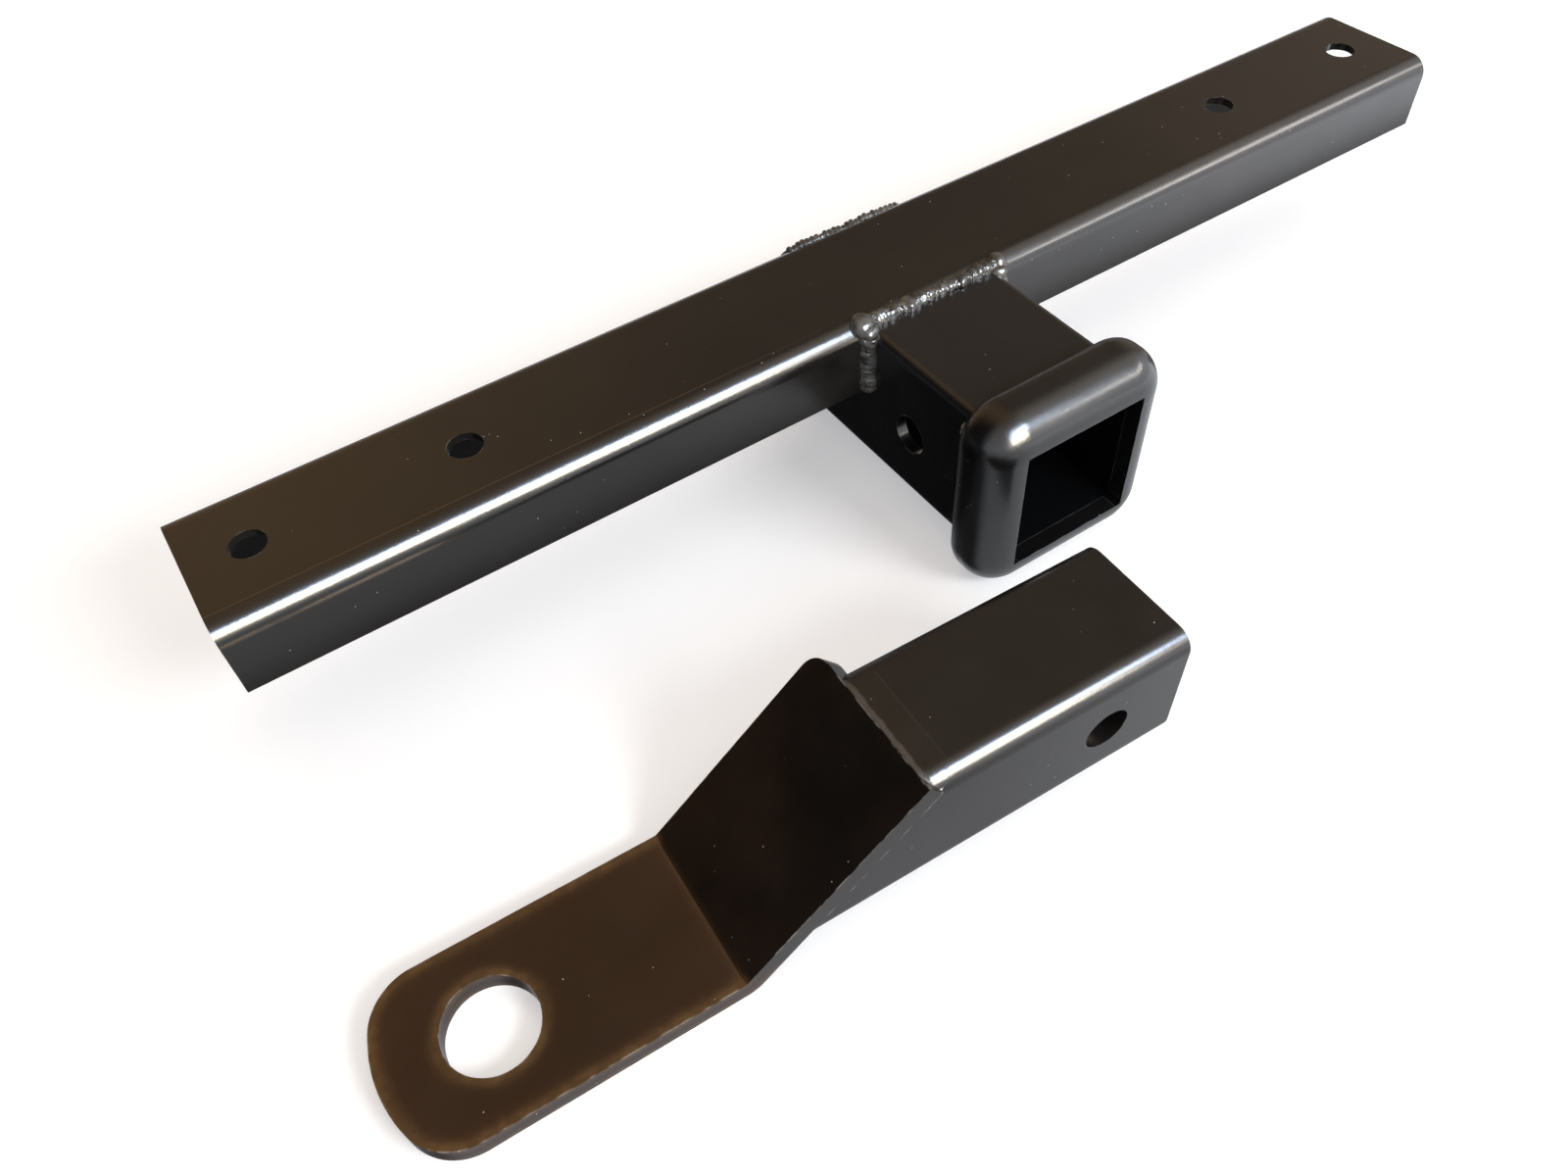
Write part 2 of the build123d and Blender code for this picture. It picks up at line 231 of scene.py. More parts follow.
tree.links.new(under.outputs["Result"], shaded.inputs[1])
tree.links.new(to_right.outputs["Result"], mirrored.inputs[0])
tree.links.new(shaded.outputs[0], mirrored.inputs[1])
tree.links.new(mirrored.outputs[0], grey.inputs["Strength"])
tree.links.new(ray.outputs["Is Glossy Ray"], chosen.inputs[0])
tree.links.new(lit.outputs[0], chosen.inputs[1])
tree.links.new(grey.outputs[0], chosen.inputs[2])
tree.links.new(chosen.outputs[0], out.inputs["Surface"])
floor_mesh.materials.append(pale)
print("floor at", round(floor_level / mm, 1), "mm")

# %% [markdown]
# The world has two jobs. To the camera it is plain white, as behind the hitch in the photograph.
# To everything else it is a room. Its front is bright, cool near the ground and warm overhead,
# and brighter to the right. Its back wall is warm and dim: brightest straight behind the hitch,
# fading to the right, and dark to the left.

# %% World
world = bpy.data.worlds.new("studio_room")
bpy.context.scene.world = world
world.use_nodes = True
tree = world.node_tree
tree.nodes.clear()
heading = add(tree, "ShaderNodeTexCoord", (-900, 0))
split = add(tree, "ShaderNodeSeparateXYZ", (-700, 0))
sideways = add(tree, "ShaderNodeMapRange", (-500, -150), {"From Min": -1.0, "From Max": 1.0})


def toned(ramp, tones):
    """Gives a colour ramp its stops, each a place from 0 to 1 and a linear colour."""
    while len(ramp.color_ramp.elements) < len(tones):
        ramp.color_ramp.elements.new(0.5)
    for stop, (place, tone) in zip(ramp.color_ramp.elements, tones):
        stop.position, stop.color = place, (*tone, 1)


wall = add(tree, "ShaderNodeValToRGB", (-300, -150))
toned(wall, [
    (0.20, (0.015, 0.014, 0.013)), (0.42, (0.46, 0.29, 0.15)), (0.55, (0.40, 0.26, 0.14)),
    (0.68, (0.20, 0.15, 0.11)), (0.83, (0.21, 0.16, 0.12)), (0.92, (0.40, 0.32, 0.24)),
])
front = add(tree, "ShaderNodeValToRGB", (-300, -400))
toned(front, [
    (0.0, (0.62, 0.65, 0.70)), (0.15, (0.88, 0.92, 0.99)), (0.45, (0.72, 0.73, 0.76)),
    (0.85, (0.62, 0.56, 0.47)), (1.0, (0.40, 0.31, 0.22)),
])
front_side = add(
    tree, "ShaderNodeMapRange", (-300, -650),
    {"From Min": 0.1, "From Max": 0.75, "To Min": 1.0, "To Max": 1.6},
)
front_lit = add(tree, "ShaderNodeVectorMath", (-100, -450), operation="SCALE")
front_to_back = add(
    tree, "ShaderNodeMapRange", (-500, 100), {"From Min": -0.12, "From Max": 0.26}
)
room = add(tree, "ShaderNodeMix", (0, 0), data_type="RGBA")
room_light = add(tree, "ShaderNodeBackground", (250, 0), {"Strength": 1.0})
white_light = add(tree, "ShaderNodeBackground", (250, 150), {"Color": (1, 1, 1, 1), "Strength": 1})
ray = add(tree, "ShaderNodeLightPath", (250, 400))
chosen = add(tree, "ShaderNodeMixShader", (500, 100))
out = add(tree, "ShaderNodeOutputWorld", (700, 100))
tree.links.new(heading.outputs["Generated"], split.inputs[0])
tree.links.new(split.outputs["X"], sideways.inputs["Value"])
tree.links.new(sideways.outputs["Result"], wall.inputs[0])
tree.links.new(split.outputs["Y"], front_to_back.inputs["Value"])
tree.links.new(front_to_back.outputs["Result"], room.inputs["Factor"])
tree.links.new(wall.outputs[0], room.inputs["B"])
tree.links.new(split.outputs["Z"], front.inputs[0])
tree.links.new(split.outputs["X"], front_side.inputs["Value"])
tree.links.new(front.outputs[0], front_lit.inputs[0])
tree.links.new(front_side.outputs["Result"], front_lit.inputs["Scale"])
tree.links.new(front_lit.outputs[0], room.inputs["A"])
tree.links.new(room.outputs["Result"], room_light.inputs["Color"])
tree.links.new(ray.outputs["Is Camera Ray"], chosen.inputs[0])
tree.links.new(room_light.outputs[0], chosen.inputs[1])
tree.links.new(white_light.outputs[0], chosen.inputs[2])
tree.links.new(chosen.outputs[0], out.inputs["Surface"])
print("world: white to the camera, a room to everything else")


# %% Lamps
def softbox(name, place, width, height, power, tint, mirrored, lights):
    """A soft rectangular lamp that faces the receiver. It shows in mirrors, or lights, or both."""
    lamp = bpy.data.lights.new(name, "AREA")
    lamp.shape = "RECTANGLE"
    lamp.size, lamp.size_y = width, height
    lamp.energy = power
    lamp.color = tint
    holder = bpy.data.objects.new(name, lamp)
    holder.location = place
    aim = Vector((0, -0.08, -0.03)) - Vector(place)
    holder.rotation_euler = aim.to_track_quat("-Z", "Y").to_euler()
    holder.visible_glossy = mirrored
    holder.visible_diffuse = lights
    bpy.context.scene.collection.objects.link(holder)
    print(name, "at", place, "with", power, "W")


softbox("window_top", (0.18, -1.33, 1.24), 1.36, 0.50, 72, (0.64, 0.77, 1.0), True, False)
softbox("window_foot", (0.05, -1.64, 0.82), 1.30, 0.44, 48, (1.0, 0.89, 0.70), True, False)
softbox("window_side", (1.14, -0.89, 0.68), 0.80, 0.20, 4, (1.0, 0.94, 0.86), True, False)
softbox("key", (0.55, -1.55, 1.05), 0.9, 0.5, 26, (0.96, 0.98, 1.0), False, True)
softbox("ceiling", (0.30, 1.10, 1.90), 1.6, 1.0, 14, (1.0, 0.92, 0.84), False, True)

# %% [markdown]
# ## What the paint does on every piece
#
# Sprayed enamel isn't even. It has a faint orange-peel skin, it drifts in tone where the coat
# is thick or thin, its sharp edges are paler, partly as bare steel where it wears through and
# partly as a painted highlight along the edge, and handling leaves tiny pale specks. Each of
# these is used by several finishes, so each is a shader group with named inputs, built once here.

# %% Skin of the paint
skin, into, outof = shader_group(
    "paint_skin",
    [("Place", VECTOR, None), ("Peel Size", FLOAT, 900.0), ("Peel Depth", FLOAT, 0.06)],
    [("Normal", VECTOR), ("Unevenness", FLOAT)],
)
peel = add(skin, "ShaderNodeTexNoise", (-600, 100), {"Detail": 2.0, "Roughness": 0.5})
sag = add(skin, "ShaderNodeTexNoise", (-600, -200), {"Scale": 55.0, "Detail": 3.0})
mixed = add(skin, "ShaderNodeMath", (-350, 0), {1: 0.75}, operation="MULTIPLY_ADD")
bump = add(skin, "ShaderNodeBump", (-100, 0), {"Distance": 0.0004})
skin.links.new(into.outputs["Place"], peel.inputs["Vector"])
skin.links.new(into.outputs["Place"], sag.inputs["Vector"])
skin.links.new(into.outputs["Peel Size"], peel.inputs["Scale"])
skin.links.new(sag.outputs["Fac"], mixed.inputs[0])
skin.links.new(peel.outputs["Fac"], mixed.inputs[2])
skin.links.new(mixed.outputs[0], bump.inputs["Height"])
skin.links.new(into.outputs["Peel Depth"], bump.inputs["Strength"])
skin.links.new(bump.outputs["Normal"], outof.inputs["Normal"])
skin.links.new(sag.outputs["Fac"], outof.inputs["Unevenness"])
print("paint_skin has", len(skin.nodes), "nodes")

# %% Drift of tone
drift, into, outof = shader_group(
    "tone_drift",
    [
        ("Place", VECTOR, None), ("Cloud Size", FLOAT, 9.0), ("Streak", FLOAT, 0.3),
        ("Deep", COLOUR, colour(24, 22, 20)), ("Pale", COLOUR, colour(48, 42, 35)),
    ],
    [("Colour", COLOUR)],
)
cloud = add(drift, "ShaderNodeTexNoise", (-600, 150), {"Detail": 4.0, "Roughness": 0.55})
grain_way = add(drift, "ShaderNodeMapping", (-850, -150), {"Scale": (0.06, 1.0, 1.0)})
streak = add(drift, "ShaderNodeTexNoise", (-600, -150), {"Scale": 210.0, "Detail": 3.0})
weigh = add(drift, "ShaderNodeMix", (-350, 0), data_type="FLOAT")
lift = add(
    drift, "ShaderNodeMapRange", (-150, 0), {"From Min": 0.34, "From Max": 0.66}
)
tone = add(drift, "ShaderNodeMix", (100, 0), data_type="RGBA")
drift.links.new(into.outputs["Place"], cloud.inputs["Vector"])
drift.links.new(into.outputs["Place"], grain_way.inputs["Vector"])
drift.links.new(grain_way.outputs[0], streak.inputs["Vector"])
drift.links.new(into.outputs["Cloud Size"], cloud.inputs["Scale"])
drift.links.new(into.outputs["Streak"], weigh.inputs["Factor"])
drift.links.new(cloud.outputs["Fac"], weigh.inputs["A"])
drift.links.new(streak.outputs["Fac"], weigh.inputs["B"])
drift.links.new(weigh.outputs["Result"], lift.inputs["Value"])
drift.links.new(lift.outputs["Result"], tone.inputs["Factor"])
drift.links.new(into.outputs["Deep"], tone.inputs["A"])
drift.links.new(into.outputs["Pale"], tone.inputs["B"])
drift.links.new(tone.outputs["Result"], outof.inputs["Colour"])
print("tone_drift has", len(drift.nodes), "nodes")

# %% Worn edges
# A rounded normal differs from the true one only near an edge, which is what finds the edges.
wear, into, outof = shader_group(
    "edge_wear",
    [
        ("Place", VECTOR, None), ("Reach", FLOAT, 0.0009), ("Amount", FLOAT, 0.6),
        ("Breakup", FLOAT, 1.0),
    ],
    [("Mask", FLOAT)],
)
rounded = add(wear, "ShaderNodeBevel", (-650, 150), samples=8)
true_way = add(wear, "ShaderNodeNewGeometry", (-650, -50))
likeness = add(wear, "ShaderNodeVectorMath", (-450, 80), operation="DOT_PRODUCT")
edge = add(
    wear, "ShaderNodeMapRange", (-250, 80), {"From Min": 0.995, "From Max": 0.86}
)
patch = add(wear, "ShaderNodeTexNoise", (-650, -300), {"Scale": 160.0, "Detail": 4.0})
broken = add(
    wear, "ShaderNodeMapRange", (-450, -300), {"From Min": 0.46, "From Max": 0.62}
)
patchy = add(wear, "ShaderNodeMix", (-250, -250), {"A": 1.0}, data_type="FLOAT")
worn = add(wear, "ShaderNodeMath", (0, 0), operation="MULTIPLY")
scaled = add(wear, "ShaderNodeMath", (200, 0), operation="MULTIPLY", use_clamp=True)
wear.links.new(into.outputs["Reach"], rounded.inputs["Radius"])
wear.links.new(rounded.outputs[0], likeness.inputs[0])
wear.links.new(true_way.outputs["Normal"], likeness.inputs[1])
wear.links.new(likeness.outputs["Value"], edge.inputs["Value"])
wear.links.new(into.outputs["Place"], patch.inputs["Vector"])
wear.links.new(patch.outputs["Fac"], broken.inputs["Value"])
wear.links.new(edge.outputs["Result"], worn.inputs[0])
wear.links.new(into.outputs["Breakup"], patchy.inputs["Factor"])
wear.links.new(broken.outputs["Result"], patchy.inputs["B"])
wear.links.new(patchy.outputs["Result"], worn.inputs[1])
wear.links.new(worn.outputs[0], scaled.inputs[0])
wear.links.new(into.outputs["Amount"], scaled.inputs[1])
wear.links.new(scaled.outputs[0], outof.inputs["Mask"])
print("edge_wear has", len(wear.nodes), "nodes")

# %% Dust specks
dust, into, outof = shader_group(
    "dust_specks",
    [("Place", VECTOR, None), ("Spacing", FLOAT, 480.0), ("Share", FLOAT, 0.03)],
    [("Mask", FLOAT)],
)
cells = add(dust, "ShaderNodeTexVoronoi", (-600, 0), {"Randomness": 1.0})
near = add(
    dust, "ShaderNodeMapRange", (-350, 100), {"From Min": 0.13, "From Max": 0.06}
)
pick = add(dust, "ShaderNodeSeparateColor", (-350, -150))
rare = add(dust, "ShaderNodeMath", (-150, -150), operation="LESS_THAN")
fleck = add(dust, "ShaderNodeMath", (100, 0), operation="MULTIPLY")
dust.links.new(into.outputs["Place"], cells.inputs["Vector"])
dust.links.new(into.outputs["Spacing"], cells.inputs["Scale"])
dust.links.new(cells.outputs["Distance"], near.inputs["Value"])
dust.links.new(cells.outputs["Color"], pick.inputs[0])
dust.links.new(pick.outputs[0], rare.inputs[0])
dust.links.new(into.outputs["Share"], rare.inputs[1])
dust.links.new(near.outputs["Result"], fleck.inputs[0])
dust.links.new(rare.outputs[0], fleck.inputs[1])
dust.links.new(fleck.outputs[0], outof.inputs["Mask"])
print("dust_specks has", len(dust.nodes), "nodes")

# %% [markdown]
# ## One satin enamel, tuned for each piece
#
# The pieces share a paint but not a look: the channel's top is warm and streaked along the
# sheet, the collar is charcoal, and the welds carry pale patches of painted glint. One function
# places these groups in a material, and each piece calls it with its own tones and gloss. A
# second lays other values over a finish where a mask says: a painted shade in the bore, a
# painted highlight line on the channel's fold, a warm specular tint on the plate's flat, and
# the ground strip.

# %% Satin enamel
# Pale steel laid on the edges stands partly for wear and partly for a painted highlight along
# them.
edge_steel_and_highlight = colour(150, 148, 142)
# The brown band along the edges stands partly for a thin coat and partly for a painted warm sheen.
thin_coat_and_sheen = colour(106, 80, 48)


def placed_group(tree, group, place, point, **values):
    """Places a shared group in a material, fed with the point, and sets its inputs."""
    made = add(tree, "ShaderNodeGroup", place, node_tree=group)
    tree.links.new(point, made.inputs["Place"])
    for label, value in values.items():
        made.inputs[label.replace("_", " ")].default_value = value
    return made


def satin_enamel(
    name, deep, pale, gloss, streak=0.12, cloud=9.0, peel=0.06, worn=0.25, specks=0.03,
    thin=0.0, thin_reach=0.007,
):
    """Black enamel with its own two tones, gloss, streaks, skin, pale edges and dust.

    The pale edges are partly wear and partly a painted highlight. Where thin is over zero, brown
    shows in a soft band along the edges, partly a thin coat and partly a painted warm sheen.
    """
    made = bpy.data.materials.new(name)
    made.use_nodes = True
    tree = made.node_tree
    paint = tree.nodes["Principled BSDF"]
    paint.inputs["Specular IOR Level"].default_value = 1.0
    point = add(tree, "ShaderNodeTexCoord", (-1400, 0)).outputs["Object"]
    drifted = placed_group(
        tree, drift, (-1100, 250), point,
        Cloud_Size=cloud, Streak=streak, Deep=deep, Pale=pale,
    )
    skinned = placed_group(tree, skin, (-1100, -300), point, Peel_Depth=peel)
    edged = placed_group(tree, wear, (-1100, -50), point, Amount=worn)
    dusty = placed_group(tree, dust, (-1100, -550), point, Share=specks)
    banded = placed_group(
        tree, wear, (-1100, 50), point, Reach=thin_reach, Amount=thin, Breakup=0.35
    )
    banded.name = "thin_coat_and_sheen"
    browned = add(tree, "ShaderNodeMix", (-850, 250), data_type="RGBA")
    browned.inputs["B"].default_value = thin_coat_and_sheen
    browned.name = "browned"
    worn_and_highlit = add(tree, "ShaderNodeMix", (-650, 250), data_type="RGBA")
    worn_and_highlit.inputs["B"].default_value = edge_steel_and_highlight
    flecked = add(tree, "ShaderNodeMix", (-400, 250), data_type="RGBA")
    flecked.inputs["B"].default_value = colour(190, 186, 178)
    gloss_range = add(
        tree, "ShaderNodeMapRange", (-400, -50), {"To Min": gloss - 0.05, "To Max": gloss + 0.07}
    )
    tree.links.new(drifted.outputs["Colour"], browned.inputs["A"])
    tree.links.new(banded.outputs["Mask"], browned.inputs["Factor"])
    tree.links.new(browned.outputs["Result"], worn_and_highlit.inputs["A"])
    tree.links.new(edged.outputs["Mask"], worn_and_highlit.inputs["Factor"])
    tree.links.new(worn_and_highlit.outputs["Result"], flecked.inputs["A"])
    tree.links.new(dusty.outputs["Mask"], flecked.inputs["Factor"])
    tree.links.new(flecked.outputs["Result"], paint.inputs["Base Color"])
    tree.links.new(skinned.outputs["Unevenness"], gloss_range.inputs["Value"])
    tree.links.new(gloss_range.outputs["Result"], paint.inputs["Roughness"])
    tree.links.new(skinned.outputs["Normal"], paint.inputs["Normal"])
    print("finish", name, "with roughness near", gloss)
    return made


def coat_over(material, mask, **values):
    """Lays other values of the paint over a finish, where a mask says."""
    tree = material.node_tree
    paint = tree.nodes["Principled BSDF"]
    for label, value in values.items():
        socket = paint.inputs[label.replace("_", " ")]
        kind = "RGBA" if socket.type == "RGBA" else "FLOAT"
        laid = add(tree, "ShaderNodeMix", (-150, 250), data_type=kind)
        laid.inputs["B"].default_value = value
        if socket.links:
            tree.links.new(socket.links[0].from_socket, laid.inputs["A"])
        else:
            laid.inputs["A"].default_value = socket.default_value
        tree.links.new(mask, laid.inputs["Factor"])
        tree.links.new(laid.outputs["Result"], socket)


def axis_place(tree, axis):
    """The piece's place along one axis, in metres."""
    where = add(tree, "ShaderNodeTexCoord", (-1400, 600))
    along = add(tree, "ShaderNodeSeparateXYZ", (-1200, 600))
    tree.links.new(where.outputs["Object"], along.inputs[0])
    return along.outputs[axis]


def between(tree, value, low, high, soft):
    """A mask that is one where a value lies between two limits, with soft edges."""
    middle, half = (low + high) / 2, (high - low) / 2
    offset = add(tree, "ShaderNodeMath", (-1000, 600), {1: middle}, operation="SUBTRACT")
    away = add(tree, "ShaderNodeMath", (-850, 600), operation="ABSOLUTE")
    inside = add(
        tree, "ShaderNodeMapRange", (-700, 600), {"From Min": half + soft, "From Max": half}
    )
    tree.links.new(value, offset.inputs[0])
    tree.links.new(offset.outputs[0], away.inputs[0])
    tree.links.new(away.outputs[0], inside.inputs["Value"])
    return inside.outputs["Result"]


def both_of(tree, first, second):
    """The product of two masks."""
    made = add(tree, "ShaderNodeMath", (-500, 600), operation="MULTIPLY")
    tree.links.new(first, made.inputs[0])
    tree.links.new(second, made.inputs[1])
    return made.outputs[0]


def finish(material, *names):
    """Gives CAD nodes a finish, in the slots that they already have."""
    for name in names:
        for material_slot in node[name].material_slots:
            material_slot.material = material


# %% Finishes of the crossbar
channel_enamel = satin_enamel("channel_enamel", colour(14, 12, 11), colour(27, 23, 18), 0.21)
finish(channel_enamel, "crossbar_channel")

# A painted highlight: a pale line where the flat web turns into the front fold, on the left half
tree = channel_enamel.node_tree
fold_start = -23.6 * mm
line = between(tree, axis_place(tree, "Y"), fold_start, fold_start + 0.1 * mm, 0.3 * mm)
left_half = between(tree, axis_place(tree, "X"), -0.4, -0.12, 0.10)
coat_over(channel_enamel, both_of(tree, line, left_half), Base_Color=colour(60, 48, 33))

tube_enamel = satin_enamel(
    "tube_enamel", colour(11, 11, 12), colour(20, 20, 20), 0.24, thin=0.5, thin_reach=0.003
)
finish(tube_enamel, "receiver_tube")

# The brown band, partly thin coat and partly painted warm sheen, lies along the tube's upper edges
# only, and not round its pin hole
tree = tube_enamel.node_tree
tube_top = -3.2 * mm
near_top = between(
    tree, axis_place(tree, "Z"), tube_top - 2.8 * mm, tube_top + 0.2 * mm, 1.5 * mm
)
banded = tree.nodes["thin_coat_and_sheen"].outputs["Mask"]
tree.links.new(both_of(tree, banded, near_top), tree.nodes["browned"].inputs["Factor"])

# The tube and collar are painted outside, and their bore is given a painted shade: near black,
# dull and with little gloss
bore_half, bore_middle = 27.2 * mm, -34.95 * mm
collar_enamel = satin_enamel(
    "collar_enamel", colour(9, 9, 10), colour(20, 20, 19), 0.23, peel=0.10
)
finish(collar_enamel, "receiver_collar")
for enamel in (tube_enamel, collar_enamel):
    tree = enamel.node_tree
    bore_shade = both_of(
        tree,
        between(tree, axis_place(tree, "X"), -bore_half, bore_half, 0.1 * mm),
        between(
            tree, axis_place(tree, "Z"), bore_middle - bore_half, bore_middle + bore_half, 0.1 * mm
        ),
    )
    coat_over(enamel, bore_shade, Base_Color=colour(3, 4, 6), Roughness=0.8, Specular_IOR_Level=0.03)

# %% Finishes of the drawbar
shank_width = 50.8 * mm
plate_thickness = 8 * mm
tongue_drop = 11.7 * mm
finish(satin_enamel("shank_enamel", colour(14, 12, 10), colour(25, 21, 17), 0.24), "drawbar_shank")
tongue_enamel = satin_enamel(
    "tongue_enamel", colour(15, 11, 7), colour(36, 24, 15), 0.21, cloud=14.0, worn=0.9, thin=0.6,
    thin_reach=0.010,
)
finish(tongue_enamel, "drawbar_tongue")

# The brown band, partly thin coat and partly painted warm sheen, lies along the edges of the
# plate's flat only
tree = tongue_enamel.node_tree
flat_top = floor_level + plate_thickness
on_flat = between(tree, axis_place(tree, "Z"), floor_level, flat_top + 0.3 * mm, 1.5 * mm)
banded = tree.nodes["thin_coat_and_sheen"].outputs["Mask"]
tree.links.new(both_of(tree, banded, on_flat), tree.nodes["browned"].inputs["Factor"])
coat_over(tongue_enamel, on_flat, Specular_Tint=(1.0, 0.80, 0.74, 1.0))
dressed_enamel = satin_enamel(
    "dressed_weld_enamel", colour(14, 12, 10), colour(27, 23, 18), 0.25, peel=0.12
)
finish(dressed_enamel, "drawbar_weld_top")

# The ground strip at the plate's edge is rubbed, so it is paler than the coat beside it
tree = dressed_enamel.node_tree
shank_top = floor_level + tongue_drop + shank_width
strip = between(tree, axis_place(tree, "Z"), shank_top + 0.35 * mm, shank_top + 3 * mm, 0.25 * mm)
coat_over(dressed_enamel, strip, Base_Color=colour(54, 46, 38), Roughness=0.34)

# %% [markdown]
# ## Weld beads
#
# A weld bead is a row of puddles, each frozen over the last, so the natural way to make one is
# to lay coins of metal along a path and let them melt into one skin. Geometry Nodes does just
# that: the path is cut into even steps, a flattened ball is set at each, turned and scaled a
# little at random, and the pile is turned into a volume and back into one closed mesh.

# %% The bead tree
def bead_tree():
    """A Geometry Nodes tree that melts a row of coins along a curve into one bead."""
    tree = bpy.data.node_groups.new("weld_bead", "GeometryNodeTree")
    face = tree.interface
    face.new_socket("Geometry", in_out="INPUT", socket_type="NodeSocketGeometry")
    sizes = {
        "Coin Radius": 0.0045, "Coin Pitch": 0.0035, "Coin Flatness": 0.55,
        "Unevenness": 0.18, "Skin Size": 0.0004, "End Swell": 0.0, "Slump": 0.0012,
    }
    for label, value in sizes.items():
        face.new_socket(label, in_out="INPUT", socket_type=FLOAT).default_value = value
    face.new_socket("Seed", in_out="INPUT", socket_type="NodeSocketInt")
    face.new_socket("Material", in_out="INPUT", socket_type="NodeSocketMaterial")
    face.new_socket("Geometry", in_out="OUTPUT", socket_type="NodeSocketGeometry")
    into = add(tree, "NodeGroupInput", (-1200, 0))
    outof = add(tree, "NodeGroupOutput", (1300, 0))
    link = tree.links.new

    steps = add(tree, "GeometryNodeResampleCurve", (-900, 100), mode="LENGTH")
    along = add(tree, "GeometryNodeInputTangent", (-900, -100))
    facing = add(tree, "FunctionNodeAlignRotationToVector", (-700, -100), axis="Z")
    coin = add(tree, "GeometryNodeMeshIcoSphere", (-700, 300), {"Subdivisions": 3})
    low = add(tree, "ShaderNodeMath", (-900, -300), {0: 1.0}, operation="SUBTRACT")
    high = add(tree, "ShaderNodeMath", (-900, -450), {0: 1.0}, operation="ADD")
    size = add(tree, "FunctionNodeRandomValue", (-700, -350), data_type="FLOAT")
    place = add(tree, "GeometryNodeSplineParameter", (-1100, -600))
    from_middle = add(tree, "ShaderNodeMath", (-900, -600), {1: 0.5}, operation="SUBTRACT")
    doubled = add(tree, "ShaderNodeMath", (-750, -600), {1: 2.0}, operation="MULTIPLY")
    outward = add(tree, "ShaderNodeMath", (-600, -600), operation="ABSOLUTE")
    steep = add(tree, "ShaderNodeMath", (-450, -600), {1: 12.0}, operation="POWER")
    swell = add(tree, "ShaderNodeMath", (-300, -600), {2: 1.0}, operation="MULTIPLY_ADD")
    grown = add(tree, "ShaderNodeMath", (-150, -450), operation="MULTIPLY")
    thick = add(tree, "ShaderNodeMath", (0, -450), operation="MULTIPLY")
    form = add(tree, "ShaderNodeCombineXYZ", (150, -350))
    lay = add(tree, "GeometryNodeInstanceOnPoints", (300, 100))
    loose = add(tree, "GeometryNodeRealizeInstances", (450, 100))
    filled = add(tree, "GeometryNodeMeshToVolume", (600, 100), resolution_mode="VOXEL_SIZE")
    skinned = add(tree, "GeometryNodeVolumeToMesh", (750, 100), resolution_mode="VOXEL_SIZE")
    swirl = add(tree, "ShaderNodeTexNoise", (600, -150), {"Scale": 135.0, "Detail": 1.0})
    centred = add(
        tree, "ShaderNodeVectorMath", (750, -150), {1: (0.5, 0.5, 0.5)}, operation="SUBTRACT"
    )
    pushed = add(tree, "ShaderNodeVectorMath", (900, -150), operation="SCALE")
    slumped = add(tree, "GeometryNodeSetPosition", (850, 100))
    soft = add(tree, "GeometryNodeSetShadeSmooth", (950, 100))
    real = add(tree, "GeometryNodeRealizeInstances", (1000, 100))
    painted = add(tree, "GeometryNodeSetMaterial", (1150, 100))

    link(into.outputs["Geometry"], steps.inputs["Curve"])
    link(into.outputs["Coin Pitch"], steps.inputs["Length"])
    link(along.outputs[0], facing.inputs["Vector"])
    link(into.outputs["Coin Radius"], coin.inputs["Radius"])
    link(into.outputs["Unevenness"], low.inputs[1])
    link(into.outputs["Unevenness"], high.inputs[1])
    link(low.outputs[0], size.inputs[2])
    link(high.outputs[0], size.inputs[3])
    link(into.outputs["Seed"], size.inputs["Seed"])
    link(place.outputs["Factor"], from_middle.inputs[0])
    link(from_middle.outputs[0], doubled.inputs[0])
    link(doubled.outputs[0], outward.inputs[0])
    link(outward.outputs[0], steep.inputs[0])
    link(steep.outputs[0], swell.inputs[0])
    link(into.outputs["End Swell"], swell.inputs[1])
    link(size.outputs[1], grown.inputs[0])
    link(swell.outputs[0], grown.inputs[1])
    link(grown.outputs[0], thick.inputs[0])
    link(into.outputs["Coin Flatness"], thick.inputs[1])
    link(grown.outputs[0], form.inputs[0])
    link(grown.outputs[0], form.inputs[1])
    link(thick.outputs[0], form.inputs[2])
    link(steps.outputs[0], lay.inputs["Points"])
    link(coin.outputs["Mesh"], lay.inputs["Instance"])
    link(facing.outputs[0], lay.inputs["Rotation"])
    link(form.outputs[0], lay.inputs["Scale"])
    link(lay.outputs[0], loose.inputs[0])
    link(loose.outputs[0], filled.inputs["Mesh"])
    link(into.outputs["Skin Size"], filled.inputs["Voxel Size"])
    link(into.outputs["Skin Size"], skinned.inputs["Voxel Size"])
    link(filled.outputs[0], skinned.inputs["Volume"])
    link(swirl.outputs["Color"], centred.inputs[0])
    link(centred.outputs[0], pushed.inputs[0])
    link(into.outputs["Slump"], pushed.inputs["Scale"])
    link(skinned.outputs[0], slumped.inputs["Geometry"])
    link(pushed.outputs[0], slumped.inputs["Offset"])
    link(slumped.outputs[0], soft.inputs["Geometry"])
    link(soft.outputs[0], real.inputs[0])
    link(real.outputs[0], painted.inputs["Geometry"])
    link(into.outputs["Material"], painted.inputs["Material"])
    link(painted.outputs[0], outof.inputs["Geometry"])
    return tree


beads = bead_tree()
print("weld_bead has", len(beads.nodes), "nodes")


